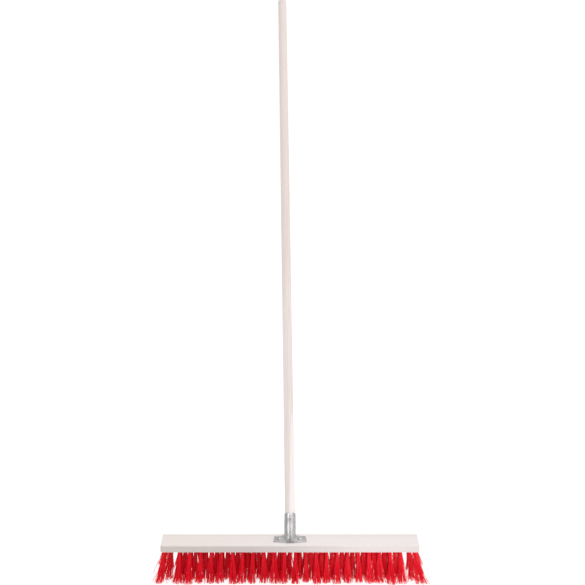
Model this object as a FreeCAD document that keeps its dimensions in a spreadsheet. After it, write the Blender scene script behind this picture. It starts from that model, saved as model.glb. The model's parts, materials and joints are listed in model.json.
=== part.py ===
"""Push broom: a wooden block with rows of bristle tufts, a pressed steel socket and a round wooden handle.

Millimetres, +Z up. The origin is on the floor, under the middle of the block, where the tuft tips
end. X runs along the block, -Y is the way the broom is pushed, and the handle leans back to +Y.
"""
import FreeCAD, Part
import math
import os

import Sketcher

Vector = FreeCAD.Vector
Placement = FreeCAD.Placement
Rotation = FreeCAD.Rotation

# ---------------------------------------------------------------------------------------------
# Driving dimensions. Each becomes a named cell of the spreadsheet.
# ---------------------------------------------------------------------------------------------
SIZES = {
    # the wooden block
    "block_length": 600.0,
    "block_width": 60.0,
    "block_height": 18.0,
    "block_top_round": 3.0,
    "block_foot_chamfer": 3.0,
    "block_end_round": 1.2,
    # the bristle field
    "tuft_length": 70.0,        # block underside to floor
    "tuft_pitch": 24.4,
    "front_row_reach": 290.0,   # the end tufts of the front, middle and back rows
    "inner_row_reach": 276.0,   # the end tufts of the two rows between them
    "row_pitch": 11.0,
    "row_splay": 7.5,           # degrees more for each row away from the middle one
    "end_splay": 11.0,          # degrees sideways, at the outermost tufts
    "end_splay_fade": 34.0,     # the splay halves over this distance inwards
    "tuft_root_radius": 4.0,
    "tuft_tip_radius": 8.5,
    "tuft_gap": 0.3,            # flexing part to block underside
    # the folded roots and their anchor wires, in blind holes
    "hole_radius": 4.0,
    "hole_depth": 13.0,
    "root_clearance": 0.05,
    "root_setback": 1.2,
    "root_end_gap": 0.4,
    "wire_width": 8.6,
    "wire_height": 2.2,
    "wire_thickness": 0.45,
    "wire_depth": 10.6,
    # the socket, pressed from one sheet
    "sheet": 1.2,
    "tube_bore_radius": 12.15,
    "tube_length": 59.0,        # block top to rim, along the tube
    "tube_place": 5.5,          # where the tube's axis meets the block top, back from the middle
    "tube_flare": 2.0,
    "seam_width": 0.7,
    "wing_reach": 38.8,
    "wing_reach_back": 36.4,
    "wing_front": -12.0,
    "wing_back": 16.2,
    "bow_reach": 28.0,          # half the chord of the plate's bowed front edge
    "bow_depth": 4.9,           # how far the bow stands in front of the wings
    "heel_reach": 15.5,         # the plate behind the tube
    "heel_reach_back": 11.5,
    "heel_back": 27.0,
    "plate_corner": 2.5,
    # the handle
    "handle_radius": 12.0,
    "handle_length": 1600.0,
    "handle_tilt": 43.0,        # degrees back from upright
    "handle_lean": 0.9,         # degrees sideways, the play of the stick in its socket
    "handle_seat": 12.0,        # block top to the stick's lower end, along the tube
    "handle_end_radius": 11.25,
    "handle_end_ease": 1.2,
    "handle_dome": 9.0,
    # the screws
    "screw_shank_radius": 1.75,
    "plate_screw_head_radius": 3.8,
    "plate_screw_head_height": 2.2,
    "stick_screw_head_radius": 2.8,
    "stick_screw_head_height": 1.6,
    "screw_head_rim": 0.5,
    "screw_reach": 15.0,
    "screw_point": 4.0,
    "recess_width": 0.9,
    "recess_length": 3.4,
    "recess_depth": 1.0,
    "screw_hole_play": 0.3,
    "plate_screw_x": 24.4,
    "plate_screw_y": 3.0,
    "spare_hole_x": 34.0,       # the unused screw holes, near the plate's rear corners
    "spare_hole_y": 12.8,
    "stick_screw_drop": 15.5,   # rim to the screw that holds the stick
    "nail_hole_drop": 40.0,     # rim to the small spare hole below it
    "nail_hole_radius": 1.5,
}
ROWS = (-2, -1, 0, 1, 2)        # steps from the middle row of tufts, front to back
OVERRUN = 30.0                  # how far cutting tools and blanks run past the faces that trim them
NO_TURN = Rotation()

doc = FreeCAD.newDocument("push_broom")


def make_sheet():
    """The spreadsheet of driving dimensions, one alias a row."""
    sheet = doc.addObject("Spreadsheet::Sheet", "Params")
    for row, (alias, value) in enumerate(SIZES.items(), start=1):
        sheet.set(f"A{row}", alias)
        sheet.set(f"B{row}", str(value))
        sheet.setAlias(f"B{row}", alias)
    doc.recompute()
    return sheet


PARAMS = make_sheet()


def size(expression):
    """The value of a driving dimension, or of an expression in their aliases."""
    return float(PARAMS.evalExpression(on_sheet(expression)))


def on_sheet(expression):
    """An expression in which each alias names its cell of the spreadsheet."""
    words = expression.replace("(", "( ").replace(")", " )").split()
    return " ".join(f"Params.{word}" if word in SIZES else word for word in words)


def bind(item, **expressions):
    """Binds an object's properties to expressions in the driving dimensions."""
    for name, expression in expressions.items():
        item.setExpression(name, on_sheet(expression))
    return item


# ---------------------------------------------------------------------------------------------
# Bodies, sketches and primitives
# ---------------------------------------------------------------------------------------------
def new_sketch(body, name, role):
    """A sketch on one of the body's own origin planes."""
    sketch = body.newObject("Sketcher::SketchObject", name)
    plane = next(item for item in body.Origin.OriginFeatures if item.Role == role)
    sketch.AttachmentSupport = [(plane, "")]
    sketch.MapMode = "FlatFace"
    return sketch


def draw_outline(sketch, corners):
    """A closed outline, drawn anticlockwise, that follows the spreadsheet.

    A corner is a pair of expressions, and one with a third has an arc of that radius, bulging
    outwards, to the next corner.
    """
    places = [Vector(size(corner[0]), size(corner[1]), 0) for corner in corners]
    for corner, first, last in zip(corners, places, places[1:] + places[:1]):
        if len(corner) == 2:
            sketch.addGeometry(Part.LineSegment(first, last))
        else:
            sketch.addGeometry(outward_arc(first, last, size(corner[2])))
    for line, corner in enumerate(corners):
        following = (line + 1) % len(corners)
        sketch.addConstraint(Sketcher.Constraint("Coincident", line, 2, following, 1))
        hold_corner(sketch, "DistanceX", line, corner[0])
        hold_corner(sketch, "DistanceY", line, corner[1])
        if len(corner) == 3:
            index = sketch.addConstraint(Sketcher.Constraint("Radius", line, size(corner[2])))
            sketch.setExpression(f"Constraints[{index}]", on_sheet(corner[2]))


def outward_arc(first, last, radius):
    """An anticlockwise arc between two points, its centre left of the way from one to the other."""
    half = (last - first) * 0.5
    rise = math.sqrt(radius**2 - half.Length**2)
    centre = first + half + Vector(-half.y, half.x, 0).normalize() * rise
    turns = [math.atan2(point.y - centre.y, point.x - centre.x) for point in (first, last)]
    return Part.ArcOfCircle(Part.Circle(centre, Vector(0, 0, 1), radius), *turns)


def hold_corner(sketch, kind, line, expression):
    """Holds the start of a line at a distance from the sketch's origin."""
    value = size(expression)
    if abs(value) < 1e-9:
        axis = -2 if kind == "DistanceX" else -1
        sketch.addConstraint(Sketcher.Constraint("PointOnObject", line, 1, axis))
        return
    ends = (-1, 1, line, 1) if value > 0 else (line, 1, -1, 1)
    index = sketch.addConstraint(Sketcher.Constraint(kind, *ends, abs(value)))
    sign = 1 if value > 0 else -1
    sketch.setExpression(f"Constraints[{index}]", f"{sign} * ({on_sheet(expression)})")


def padded_body(name, corners, thickness):
    """A body padded up from an outline on its XY plane."""
    body = doc.addObject("PartDesign::Body", name)
    sketch = new_sketch(body, f"{name}_outline", "XY_Plane")
    draw_outline(sketch, corners)
    pad = body.newObject("PartDesign::Pad", f"{name}_pad")
    pad.Profile = sketch
    bind(pad, Length=thickness)
    doc.recompute()
    return body


def turned_body(name, corners):
    """A body turned about its Z axis from an outline on its XZ plane."""
    body = doc.addObject("PartDesign::Body", name)
    sketch = new_sketch(body, f"{name}_profile", "XZ_Plane")
    draw_outline(sketch, corners)
    turned = body.newObject("PartDesign::Revolution", f"{name}_turned")
    turned.Profile = sketch
    turned.ReferenceAxis = (sketch, ["V_Axis"])
    turned.Angle = 360.0
    doc.recompute()
    return body


def ease_edges(body, kind, name, choose, **sizes):
    """A Fillet or Chamfer of the body's edges whose middle and span pass a test."""
    base = body.Tip
    names = []
    for number, edge in enumerate(base.Shape.Edges, start=1):
        middle = edge.valueAt((edge.FirstParameter + edge.LastParameter) / 2)
        span = edge.Vertexes[-1].Point - edge.Vertexes[0].Point
        if choose(middle, span):
            names.append(f"Edge{number}")
    feature = body.newObject(f"PartDesign::{kind}", name)
    feature.Base = (base, names)
    bind(feature, **sizes)
    doc.recompute()


def cylinder(name, radius, height, placement):
    """A cylinder with its sizes bound to the spreadsheet."""
    item = doc.addObject("Part::Cylinder", name)
    bind(item, Radius=radius, Height=height)
    item.Placement = placement
    return item


def cuboid(name, length, width, height, placement):
    """A box with its sizes bound to the spreadsheet."""
    item = doc.addObject("Part::Box", name)
    bind(item, Length=length, Width=width, Height=height)
    item.Placement = placement
    return item


def boolean(kind, name, base, tool):
    """A Cut, Fuse or Common of two objects."""
    item = doc.addObject(f"Part::{kind}", name)
    item.Base = base
    item.Tool = tool
    item.Refine = True
    doc.recompute()
    return item


def copies(pattern, places):
    """Copies of a pattern's solid, one at each placement."""
    made = []
    for place in places:
        solid = pattern.Shape.copy()
        solid.Placement = place.multiply(solid.Placement)
        made.append(solid)
    return made


def group(name, solids):
    """An object that holds several separate solids."""
    item = doc.addObject("Part::Feature", name)
    item.Shape = Part.Compound(solids)
    return item


def at(point, rotation=NO_TURN):
    """A placement at a point."""
    return Placement(point, rotation)


# ---------------------------------------------------------------------------------------------
# Where things are
# ---------------------------------------------------------------------------------------------
def block_top():
    """Height of the block's top face above the floor."""
    return size("tuft_length + block_height")


def tube_turn():
    """The turn that leans an upright tube back to the handle's tilt."""
    return Rotation(Vector(1, 0, 0), -size("handle_tilt"))


def on_tube(along, sideways=0.0, outwards=0.0):
    """A point told in the tube's directions: up its axis from the block top, to +X, and out of its front."""
    foot = Vector(0, size("tube_place"), block_top())
    return foot + tube_turn().multVec(Vector(sideways, -outwards, along))


def front_of_tube(drop):
    """A placement on the tube's front, some way below the rim, with +Z outwards."""
    seat = on_tube(size("tube_length") - drop, 0.0, size("tube_bore_radius + sheet"))
    outwards = tube_turn().multVec(Vector(0, -1, 0))
    return at(seat, Rotation(Vector(0, 0, 1), outwards))


def stick_direction():
    """Unit vector up the handle, which leans a little to -X in its socket."""
    lean = math.radians(size("handle_lean"))
    return tube_turn().multVec(Vector(-math.sin(lean), 0, math.cos(lean)))


def tuft_places(step):
    """The x of each tuft of a row: an even field, and one more tuft near each end of the block.

    Neighbouring rows are staggered by half a pitch.
    """
    pitch = size("tuft_pitch")
    if step % 2 == 0:
        reach, first = size("front_row_reach"), pitch / 2
    else:
        reach, first = size("inner_row_reach"), pitch
    right = [first + pitch * i for i in range(int((reach - pitch - first) / pitch) + 1)] + [reach]
    middle = [] if step % 2 == 0 else [0.0]
    return [-x for x in reversed(right)] + middle + right


def tuft_slopes(step, x):
    """How far a tuft leans, to +X and to +Y, for each unit down."""
    inwards = size("front_row_reach") - abs(x)
    sideways = size("end_splay") * 0.5 ** (inwards / size("end_splay_fade"))
    along = math.copysign(math.tan(math.radians(sideways)), x) if x else 0.0
    return along, math.tan(math.radians(step * size("row_splay")))


def tuft_frames(step, drop):
    """A placement for each tuft of a row, some way below the underside, with -Z along the tuft."""
    frames = []
    for x in tuft_places(step):
        along, across = tuft_slopes(step, x)
        point = Vector(
            x + along * drop,
            step * size("row_pitch") + across * drop,
            size("tuft_length") - drop,
        )
        frames.append(at(point, Rotation(Vector(0, 0, -1), Vector(along, across, -1))))
    return frames


def plate_hole_seats(kind):
    """The points on the block's top face under the plate's holes of one kind, left and right."""
    reach, y = size(f"{kind}_x"), size(f"{kind}_y")
    return {
        side: Vector(sign * reach, y, block_top()) for side, sign in (("left", -1), ("right", 1))
    }


def all_plate_seats():
    """The places of every screw hole in the plate, used and spare."""
    kinds = ("plate_screw", "spare_hole")
    return [at(seat) for kind in kinds for seat in plate_hole_seats(kind).values()]


# ---------------------------------------------------------------------------------------------
# Block
# ---------------------------------------------------------------------------------------------
def make_block():
    """The wooden block: a board with eased edges, drilled for every tuft and every hole in the plate."""
    left, right = "-0.5 * block_length", "0.5 * block_length"
    front, back = "-0.5 * block_width", "0.5 * block_width"
    body = padded_body(
        "board", [(left, front), (right, front), (right, back), (left, back)], "block_height"
    )
    middle_height = size("block_height / 2")
    end = size("block_length / 2")
    ease_edges(
        body,
        "Fillet",
        "board_top_round",
        lambda middle, span: abs(span.x) > 1 and middle.z > middle_height,
        Radius="block_top_round",
    )
    ease_edges(
        body,
        "Chamfer",
        "board_foot_chamfer",
        lambda middle, span: abs(span.x) > 1 and middle.z < 1e-6,
        Size="block_foot_chamfer",
    )
    ease_edges(
        body,
        "Fillet",
        "board_end_round",
        lambda middle, span: abs(abs(middle.x) - end) < 1e-6,
        Radius="block_end_round",
    )
    body.Placement = at(Vector(0, 0, size("tuft_length")))

    entry = 3.0
    tuft_drill = cylinder(
        "tuft_drill", "hole_radius", f"hole_depth + {entry}", at(Vector(0, 0, -entry))
    )
    pilot_drill = cylinder(
        "pilot_drill", "screw_shank_radius", "screw_reach", at(Vector(0, 0, -size("screw_reach")))
    )
    doc.recompute()
    bores = [bore for step in ROWS for bore in copies(tuft_drill, tuft_frames(step, 0.0))]
    bores += copies(pilot_drill, all_plate_seats())
    return {"block": boolean("Cut", "block", body, group("block_bores", bores))}


# ---------------------------------------------------------------------------------------------
# Tufts and the wires that hold them
# ---------------------------------------------------------------------------------------------
def make_tufts():
    """The rows of tufts: the flexing parts, their folded roots, and the wires through the folds."""
    slope = "(tuft_tip_radius - tuft_root_radius) / (tuft_length - tuft_gap)"
    foot = f"-1 * (tuft_length + {OVERRUN})"
    flexing = turned_body(
        "tuft_pattern",
        [
            ("0", foot),
            (f"tuft_root_radius - ({foot}) * {slope}", foot),
            ("tuft_root_radius", "0", "tuft_root_radius"),
            ("0", "tuft_root_radius"),
        ],
    )
    root = cylinder(
        "root_pattern",
        "hole_radius - root_clearance",
        "hole_depth - root_setback - root_end_gap",
        at(Vector(0, 0, size("root_setback"))),
    )
    wire = cuboid(
        "wire_pattern",
        "wire_width",
        "wire_thickness",
        "wire_height",
        at(
            Vector(
                size("-0.5 * wire_width"),
                size("-0.5 * wire_thickness"),
                size("wire_depth - wire_height"),
            )
        ),
    )
    doc.recompute()
    reach = size("block_length")
    above_floor = Part.makeBox(2 * reach, 2 * reach, 2 * reach, Vector(-reach, -reach, 0))
    bend_drop = size("tuft_root_radius + tuft_gap")
    made = {}
    for number, step in enumerate(ROWS, start=1):
        bundles = copies(flexing, tuft_frames(step, bend_drop))
        wires = copies(wire, tuft_frames(step, 0.0))
        folds = copies(root, tuft_frames(step, 0.0))
        rows = {
            f"bristle_row_{number}": [bundle.common(above_floor) for bundle in bundles],
            f"tuft_roots_row_{number}": [fold.cut(bar) for fold, bar in zip(folds, wires)],
            f"anchor_wires_row_{number}": wires,
        }
        for name, shapes in rows.items():
            made[name] = group(name, [solid for shape in shapes for solid in shape.Solids])
    return made


# ---------------------------------------------------------------------------------------------
# Socket
# ---------------------------------------------------------------------------------------------
def make_plate():
    """The winged plate, with a front edge bowed round the tube and a heel behind it."""
    bow_radius = "(bow_reach ^ 2 + bow_depth ^ 2) / (2 * bow_depth)"
    right = [
        ("wing_reach", "wing_front"),
        ("wing_reach_back", "wing_back"),
        ("heel_reach", "wing_back"),
        ("heel_reach_back", "heel_back"),
    ]
    left = [(f"-1 * {x}", y) for x, y in reversed(right)]
    bow = [("-1 * bow_reach", "wing_front", bow_radius), ("bow_reach", "wing_front")]
    body = padded_body("plate", bow + right + left, "sheet")
    ease_edges(
        body,
        "Fillet",
        "plate_corners",
        lambda middle, span: abs(span.z) > 0.5,
        Radius="plate_corner",
    )
    body.Placement = at(Vector(0, 0, block_top()))
    return body


def make_socket():
    """The pressed steel socket: plate and leaning tube in one sheet, with a seam down the tube's front."""
    plate = make_plate()
    through = f"tube_length + 2 * {OVERRUN}"
    start = at(on_tube(-OVERRUN), tube_turn())
    outside = cylinder("tube_outside", "tube_bore_radius + sheet", f"tube_length + {OVERRUN}", start)
    bore = cylinder("tube_bore", "tube_bore_radius", through, start)
    seam_foot = on_tube(-OVERRUN, size("-0.5 * seam_width"), size("tube_bore_radius + 2 * sheet"))
    seam = cuboid(
        "tube_seam",
        "seam_width",
        "tube_bore_radius + 2 * sheet",
        through,
        at(seam_foot, tube_turn()),
    )
    under = 4 * OVERRUN
    corner = Vector(-under / 2, -under / 2, block_top() - under)
    wood = cuboid("wood_space", str(under), str(under), str(under), at(corner))
    doc.recompute()
    blank = boolean("Fuse", "socket_blank", plate, boolean("Cut", "tube_standing", outside, wood))
    flare = doc.addObject("Part::Fillet", "socket_flare")
    flare.Base = blank
    flare.Edges = [(number, size("tube_flare"), size("tube_flare")) for number in foot_edges(blank)]
    doc.recompute()
    bored = boolean("Cut", "socket_bored", flare, bore)
    slit = boolean("Cut", "socket_slit", bored, seam)
    return {"handle_socket": boolean("Cut", "handle_socket", slit, socket_holes())}


def foot_edges(blank):
    """The numbers of the edges where the tube's outside meets the top of the plate."""
    plate_top = block_top() + size("sheet")
    numbers = []
    for number, edge in enumerate(blank.Shape.Edges, start=1):
        on_top = all(abs(vertex.Point.z - plate_top) < 1e-6 for vertex in edge.Vertexes)
        if on_top and edge.Curve.TypeId == "Part::GeomEllipse":
            numbers.append(number)
    return numbers


def socket_holes():
    """The bores through the sheet: four for plate screws, one for the stick's screw, one for a nail."""
    drill_start = at(Vector(0, 0, size("-4 * sheet")))
    screw_drill = cylinder(
        "socket_screw_drill", "screw_shank_radius + screw_hole_play", "8 * sheet", drill_start
    )
    nail_drill = cylinder("socket_nail_drill", "nail_hole_radius", "8 * sheet", drill_start)
    doc.recompute()
    screw_places = all_plate_seats() + [front_of_tube(size("stick_screw_drop"))]
    bores = copies(screw_drill, screw_places)
    bores += copies(nail_drill, [front_of_tube(size("nail_hole_drop"))])
    return group("socket_bores", bores)


# ---------------------------------------------------------------------------------------------
# Screws
# ---------------------------------------------------------------------------------------------
def make_screw_pattern(kind):
    """A round-head wood screw of one kind, with a cross recess and its head's seat at the origin."""
    radius, height = f"{kind}_head_radius", f"{kind}_head_height"
    crown = f"({height} - screw_head_rim)"
    turned = turned_body(
        f"{kind}_blank",
        [
            ("0", "-1 * screw_reach"),
            ("screw_shank_radius", "screw_point - screw_reach"),
            ("screw_shank_radius", "0"),
            (radius, "0"),
            (radius, "screw_head_rim", f"({radius} ^ 2 + {crown} ^ 2) / (2 * {crown})"),
            ("0", height),
        ],
    )
    recess_foot = size(f"{height} - recess_depth")
    for name, wide, deep in (
        (f"{kind}_recess_bar", "recess_length", "recess_width"),
        (f"{kind}_recess_cross", "recess_width", "recess_length"),
    ):
        corner = Vector(size(f"-0.5 * {wide}"), size(f"-0.5 * {deep}"), recess_foot)
        slot = cuboid(name, wide, deep, height, at(corner))
        doc.recompute()
        turned = boolean("Cut", f"{kind}_with_{name}", turned, slot)
    return turned


def make_screws():
    """Two screws through the plate into the block, and one through the tube into the stick."""
    plate_screw = make_screw_pattern("plate_screw")
    stick_screw = make_screw_pattern("stick_screw")
    on_plate = Vector(0, 0, size("sheet"))
    screws = {}
    for side, seat in plate_hole_seats("plate_screw").items():
        name = f"plate_screw_{side}"
        screws[name] = group(name, copies(plate_screw, [at(seat + on_plate)]))
    on_tube_front = front_of_tube(size("stick_screw_drop"))
    screws["stick_screw"] = group("stick_screw_fitted", copies(stick_screw, [on_tube_front]))
    return screws


# ---------------------------------------------------------------------------------------------
# Handle
# ---------------------------------------------------------------------------------------------
def make_handle():
    """The round stick: its lower end tapered to enter the socket, its upper end domed."""
    rim = "(tube_length - handle_seat)"
    body = turned_body(
        "stick",
        [
            ("0", "0"),
            ("handle_end_radius - handle_end_ease", "0"),
            ("handle_end_radius", "handle_end_ease"),
            ("handle_radius", rim),
            (
                "handle_radius",
                "handle_length - handle_dome",
                "(handle_radius ^ 2 + handle_dome ^ 2) / (2 * handle_dome)",
            ),
            ("0", "handle_length"),
        ],
    )
    direction = stick_direction()
    rim_centre = on_tube(size("tube_length"))
    body.Placement = at(rim_centre - direction * size(rim), Rotation(Vector(0, 0, 1), direction))
    pilot = group(
        "stick_pilot", copies(doc.getObject("pilot_drill"), [front_of_tube(size("stick_screw_drop"))])
    )
    return {"handle": boolean("Cut", "handle", body, pilot)}


# ---------------------------------------------------------------------------------------------
# Build, check and write
# ---------------------------------------------------------------------------------------------
def check_objects():
    """Stops on any object of the document that failed to compute."""
    for item in doc.Objects:
        if {"Invalid", "Error"} & set(item.State):
            raise RuntimeError(f"{item.Name} failed: {item.State}")


def write(parts):
    """Writes each sub-part's solids to parts/NODE.step."""
    os.makedirs("parts", exist_ok=True)
    for name, item in parts.items():
        shape = item.Shape
        if shape.isNull() or not shape.isValid() or not shape.Solids:
            raise RuntimeError(f"{name} has no valid solid")
        item.Label = name
        shape.exportStep(os.path.join("parts", f"{name}.step"))
        print(f"{name}: {len(shape.Solids)} solid(s), {shape.Volume / 1000:.2f} cm3")


def main():
    """Builds every sub-part and writes it."""
    parts = {}
    for make in (make_block, make_tufts, make_socket, make_handle, make_screws):
        parts.update(make())
    doc.recompute()
    check_objects()
    write(parts)


main()
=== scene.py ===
"""Push broom: filament tufts, pressed socket, turned stick and finishes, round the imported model.

Metres, +Z up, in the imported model's frame: +X along the block, -Y the way the broom is pushed, and
the stick leaning back to +Y. The tufts end on the floor, at Z = 0.
"""
import json
import logging
import math
import random
from collections.abc import Iterator
from dataclasses import dataclass, field
from enum import Enum

import bmesh
import bpy
from mathutils import Matrix, Vector


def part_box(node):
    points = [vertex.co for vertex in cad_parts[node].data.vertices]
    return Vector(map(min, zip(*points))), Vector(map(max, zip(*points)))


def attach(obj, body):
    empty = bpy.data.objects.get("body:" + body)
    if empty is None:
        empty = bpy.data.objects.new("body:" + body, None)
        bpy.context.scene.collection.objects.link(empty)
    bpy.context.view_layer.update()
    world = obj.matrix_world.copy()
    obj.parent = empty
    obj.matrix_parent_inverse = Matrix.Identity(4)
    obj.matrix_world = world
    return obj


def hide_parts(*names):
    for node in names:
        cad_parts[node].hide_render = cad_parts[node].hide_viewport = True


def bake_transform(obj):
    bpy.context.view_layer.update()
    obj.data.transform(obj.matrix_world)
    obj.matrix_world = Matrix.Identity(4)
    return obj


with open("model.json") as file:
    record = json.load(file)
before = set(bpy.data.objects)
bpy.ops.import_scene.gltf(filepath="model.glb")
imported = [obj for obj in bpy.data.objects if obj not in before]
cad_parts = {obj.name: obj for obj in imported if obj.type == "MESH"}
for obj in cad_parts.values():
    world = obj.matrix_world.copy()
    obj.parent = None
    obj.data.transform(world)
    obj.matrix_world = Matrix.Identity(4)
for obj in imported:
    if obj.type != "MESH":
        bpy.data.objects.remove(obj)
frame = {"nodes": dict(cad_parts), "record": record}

log = logging.getLogger("push_broom")

Colour = tuple[float, float, float]
Place = tuple[float, float, float]
Span = tuple[float, float]
Value = bpy.types.NodeSocket

MM = 0.001
TURN = 2 * math.pi
UP = Vector((0, 0, 1))
UNTURNED: Place = (0.0, 0.0, 0.0)
EVEN: Place = (1.0, 1.0, 1.0)
WHITE = (1.0, 1.0, 1.0, 1.0)
ALL: Span = (0.0, 1.0)
MIDDLE: Span = (0.3, 0.7)  # where most values of a noise pattern lie

SHADE = "shade"  # the attribute that holds each filament's own lightness
ALONG = "along"  # the attribute that holds the way along each filament


class Slot(Enum):
    """The record's material slots."""

    BLOCK = "block_wood"
    HANDLE = "handle_wood"
    SOCKET = "socket_steel"
    SCREW = "screw_steel"
    BRISTLE = "bristle_plastic"
    WIRE = "wire_steel"


class Sum(Enum):
    """The ways to combine two values of a pattern."""

    PLUS = "ADD"
    MINUS = "SUBTRACT"
    TIMES = "MULTIPLY"


class MixSocket(Enum):
    """The Mix node's sockets, by number, since those for colours and numbers share names."""

    NUMBERS = (2, 3)
    COLOURS = (6, 7)
    NUMBER_OUT = 0
    COLOUR_OUT = 2


# ---------- Materials ----------
class Recipe:
    """A node material while it is being put together."""

    def __init__(self, name: str) -> None:
        """Starts a material with only a Principled shader and its output.

        Args:
            name: The material's name.
        """
        self.material = bpy.data.materials.new(name)
        self.material.use_nodes = True
        self.nodes = self.material.node_tree.nodes
        self.links = self.material.node_tree.links
        self.shader = self.nodes["Principled BSDF"]

    def add(self, kind: str, **settings: object) -> bpy.types.Node:
        """Adds a node.

        Args:
            kind: The node's type, without its ShaderNode prefix.
            settings: Properties of the node, and its sockets' values, by name.

        Returns:
            The new node.
        """
        node = self.nodes.new(f"ShaderNode{kind}")
        for name, value in settings.items():
            if name in node.bl_rna.properties:
                setattr(node, name, value)
            else:
                node.inputs[name.replace("_", " ")].default_value = value
        return node

    def join(self, source: Value, node: bpy.types.Node, socket: str | int) -> None:
        """Links an output to one of a node's inputs."""
        self.links.new(source, node.inputs[socket])

    def constant(self, **values: object) -> None:
        """Sets the shader's own sockets, by name."""
        for name, value in values.items():
            self.shader.inputs[name.replace("_", " ")].default_value = value

    def surface(self, colour: Value, roughness: Value) -> None:
        """Gives the shader its colour and roughness."""
        self.join(colour, self.shader, "Base Color")
        self.join(roughness, self.shader, "Roughness")

    def place(self, turn: Place = UNTURNED, stretch: Place = EVEN) -> Value:
        """Object coordinates, turned into a piece's own directions and stretched.

        Args:
            turn: Euler angles of the mapping.
            stretch: Scale along each turned axis.

        Returns:
            The mapped coordinates.
        """
        coordinates = self.add("TexCoord")
        turned = self.add("Mapping", Rotation=turn)
        self.join(coordinates.outputs["Object"], turned, "Vector")
        scaled = self.add("Mapping", Scale=stretch)
        self.join(turned.outputs[0], scaled, "Vector")
        return scaled.outputs[0]

    def noise(self, place: Value, **settings: float) -> Value:
        """A noise pattern.

        Args:
            place: The coordinates.
            settings: The pattern's scale, detail and roughness, by name.

        Returns:
            The pattern's value.
        """
        node = self.add("TexNoise", **settings)
        self.join(place, node, "Vector")
        return node.outputs["Fac"]

    def remap(self, source: Value, span: Span, onto: Span = ALL) -> Value:
        """A value taken smoothly from one range to another, and clamped.

        Args:
            source: The value.
            span: The range that it comes from.
            onto: The range that it is taken to, which may run downwards.

        Returns:
            The new value.
        """
        node = self.add(
            "MapRange",
            interpolation_type="SMOOTHSTEP",
            From_Min=span[0],
            From_Max=span[1],
            To_Min=onto[0],
            To_Max=onto[1],
        )
        self.join(source, node, "Value")
        return node.outputs[0]

    def blend(self, share: Value, first: Colour | Value, second: Colour | Value) -> Value:
        """One colour over another.

        Args:
            share: How much of the second colour shows.
            first: The colour underneath.
            second: The colour on top.

        Returns:
            The blended colour.
        """
        node = self.add("Mix", data_type="RGBA")
        self.join(share, node, 0)
        for index, colour in zip(MixSocket.COLOURS.value, (first, second)):
            if isinstance(colour, tuple):
                node.inputs[index].default_value = (*colour, 1.0)
            else:
                self.join(colour, node, index)
        return node.outputs[MixSocket.COLOUR_OUT.value]

    def combine(self, kind: Sum, first: Value, second: Value | float) -> Value:
        """A sum, difference or product of two values.

        Args:
            kind: How they are combined.
            first: The first value.
            second: The second one, or a number.

        Returns:
            The result.
        """
        node = self.add("Math", operation=kind.value)
        self.join(first, node, 0)
        if isinstance(second, float):
            node.inputs[1].default_value = second
        else:
            self.join(second, node, 1)
        return node.outputs[0]

    def relief(self, height: Value, depth: float, strength: float) -> None:
        """Raises the surface by a height pattern, on top of any relief that it already has.

        Args:
            height: The pattern.
            depth: How far a height of 1 stands up.
            strength: How much of the relief shows.
        """
        node = self.add("Bump", Strength=strength, Distance=depth)
        self.join(height, node, "Height")
        for link in self.shader.inputs["Normal"].links:
            self.join(link.from_socket, node, "Normal")
        self.join(node.outputs[0], self.shader, "Normal")

    def patch(self, place: Value, centre: Place, radii: Span) -> Value:
        """A round patch: 1 in its middle, fading to 0 at its rim.

        Args:
            place: The coordinates.
            centre: The patch's centre.
            radii: The radius where it starts to fade, and the one where it ends.

        Returns:
            The patch's value.
        """
        away = self.add("VectorMath", operation="DISTANCE")
        self.join(place, away, 0)
        away.inputs[1].default_value = centre
        return self.remap(away.outputs["Value"], radii, (1.0, 0.0))


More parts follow.
